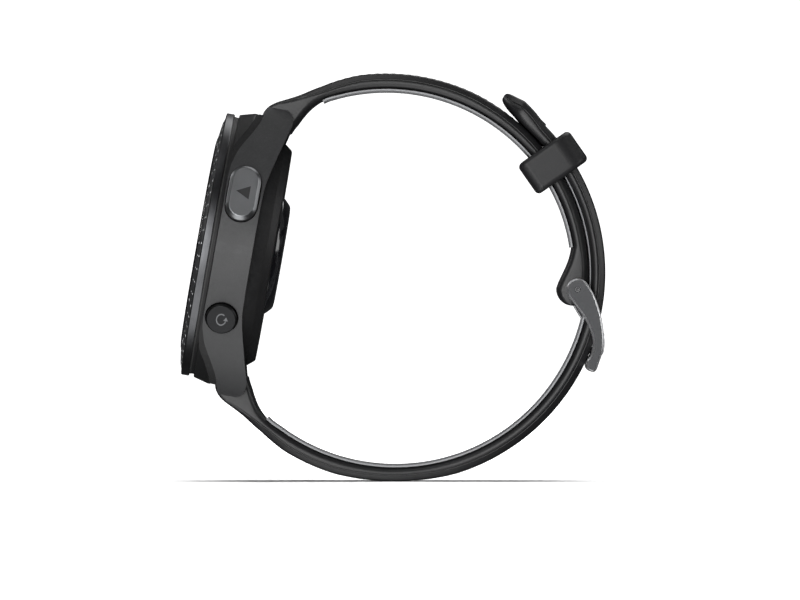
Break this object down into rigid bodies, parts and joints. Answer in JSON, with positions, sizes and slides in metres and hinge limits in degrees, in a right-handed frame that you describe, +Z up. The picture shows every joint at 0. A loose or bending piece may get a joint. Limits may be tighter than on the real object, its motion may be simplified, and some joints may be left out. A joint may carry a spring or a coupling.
{
  "type": "gps running watch",
  "caption": "Round running watch with push buttons, a sensor window on its back and a silicone strap closed in a loop by a buckle and a keeper, as on a wrist.",
  "frame": {"origin": "centre of the bounding box in plan, at the level of the lowest point of the strap loop", "axes": "+Z up; +X from the face toward the buckle; +Y away from the 3 o'clock side of the case; the face looks toward -X and leans back 10 degrees"},
  "size_m": [0.0728, 0.0492, 0.0695],
  "materials": {
    "case": "fine moulded grain",
    "bezel": "dark coated steel, satin wall, black chamfer with minute ticks",
    "crystal": "clear polished glass",
    "seal": "soft black",
    "cover": "fine matt",
    "fastener": "plain",
    "window": "dark polished lens",
    "socket": "matt",
    "contact": "gold plated",
    "display": "reflective colour display",
    "carrier": "matt",
    "board": "solder mask",
    "chip": "moulded",
    "shield": "tin plated",
    "cell": "foil pouch",
    "motor": "plain",
    "sounder": "plain",
    "aerial": "stamped",
    "optics": "clear resin",
    "ribbon": "polyimide film",
    "vent": "membrane",
    "switch": "plain",
    "button": "brushed, dark coated",
    "spring": "drawn wire",
    "strap": "matt silicone",
    "liner": "matt silicone, finely ribbed",
    "keeper": "matt silicone",
    "buckle": "dark coated steel, brushed",
    "pin": "plain",
    "tongue": "dark coated steel",
    "bar": "plain"
  },
  "bodies": {
    "watch": {"case_body": "case", "bezel": "bezel", "crystal": "crystal", "bezel_gasket": "seal", "back_cover": "cover", "back_gasket": "seal", "back_screws": "fastener", "sensor_window": "window", "charge_socket": "socket", "charge_contacts": "contact", "display_panel": "display", "display_carrier": "carrier", "main_board": "board", "board_chips": "chip", "shield_can": "shield", "battery": "cell", "vibration_motor": "motor", "sounder": "sounder", "aerial_ring": "aerial", "sensor_board": "board", "sensor_optics": "optics", "display_ribbon": "ribbon", "sensor_ribbon": "ribbon", "key_ribbon": "ribbon", "pressure_vent": "vent", "key_switches": "switch", "start_spring": "spring", "back_spring": "spring", "light_spring": "spring", "up_spring": "spring", "down_spring": "spring", "upper_strap": "strap", "upper_liner": "liner", "lower_strap": "strap", "lower_liner": "liner", "buckle_pin": "pin", "bar_tubes": "bar", "upper_bar_spring": "spring", "lower_bar_spring": "spring"},
    "start_key": {"start_button": "button", "start_seal": "seal", "start_clip": "fastener"},
    "back_key": {"back_button": "button", "back_seal": "seal", "back_clip": "fastener"},
    "light_key": {"light_button": "button", "light_seal": "seal", "light_clip": "fastener"},
    "up_key": {"up_button": "button", "up_seal": "seal", "up_clip": "fastener"},
    "down_key": {"down_button": "button", "down_seal": "seal", "down_clip": "fastener"},
    "keeper": {"keeper": "keeper"},
    "buckle": {"buckle_frame": "buckle"},
    "tongue": {"buckle_tongue": "tongue"},
    "upper_tip": {"upper_bar_tip": "bar"},
    "lower_tip": {"lower_bar_tip": "bar"}
  },
  "joints": [
    {"name": "start_press", "type": "slide", "parent": "watch", "child": "start_key", "axis": [-0.0525, 0.9532, -0.2978], "range_m": [0, 0.0006], "stiffness_N_per_m": 1500, "springref_m": -0.0004, "deforming": ["start_spring"]},
    {"name": "back_press", "type": "slide", "parent": "watch", "child": "back_key", "axis": [0.0662, 0.9245, 0.3753], "range_m": [0, 0.0006], "stiffness_N_per_m": 1500, "springref_m": -0.0004, "deforming": ["back_spring"]},
    {"name": "light_press", "type": "slide", "parent": "watch", "child": "light_key", "axis": [-0.0662, -0.9245, -0.3753], "range_m": [0, 0.0006], "stiffness_N_per_m": 1500, "springref_m": -0.0004, "deforming": ["light_spring"]},
    {"name": "up_press", "type": "slide", "parent": "watch", "child": "up_key", "axis": [0, -1, 0], "range_m": [0, 0.0006], "stiffness_N_per_m": 1500, "springref_m": -0.0004, "deforming": ["up_spring"]},
    {"name": "down_press", "type": "slide", "parent": "watch", "child": "down_key", "axis": [0.0662, -0.9245, 0.3753], "range_m": [0, 0.0006], "stiffness_N_per_m": 1500, "springref_m": -0.0004, "deforming": ["down_spring"]},
    {"name": "keeper_slide", "type": "hinge", "parent": "watch", "child": "keeper", "pos_m": [0.00042, 0, 0.0357], "axis": [0, 1, 0], "range_deg": [-2.5, 20]},
    {"name": "buckle_lift", "type": "hinge", "parent": "watch", "child": "buckle", "pos_m": [0.03157, 0, 0.03281], "axis": [0, -1, 0], "range_deg": [0, 4]},
    {"name": "tongue_lift", "type": "hinge", "parent": "buckle", "child": "tongue", "pos_m": [0.03157, 0, 0.03281], "axis": [0, -1, 0], "range_deg": [0, 4]},
    {"name": "upper_tip_draw", "type": "slide", "parent": "watch", "child": "upper_tip", "axis": [0, 1, 0], "range_m": [0, 0.0016], "stiffness_N_per_m": 600, "springref_m": -0.001, "deforming": ["upper_bar_spring"]},
    {"name": "lower_tip_draw", "type": "slide", "parent": "watch", "child": "lower_tip", "axis": [0, 1, 0], "range_m": [0, 0.0016], "stiffness_N_per_m": 600, "springref_m": -0.001, "deforming": ["lower_bar_spring"]}
  ]
}
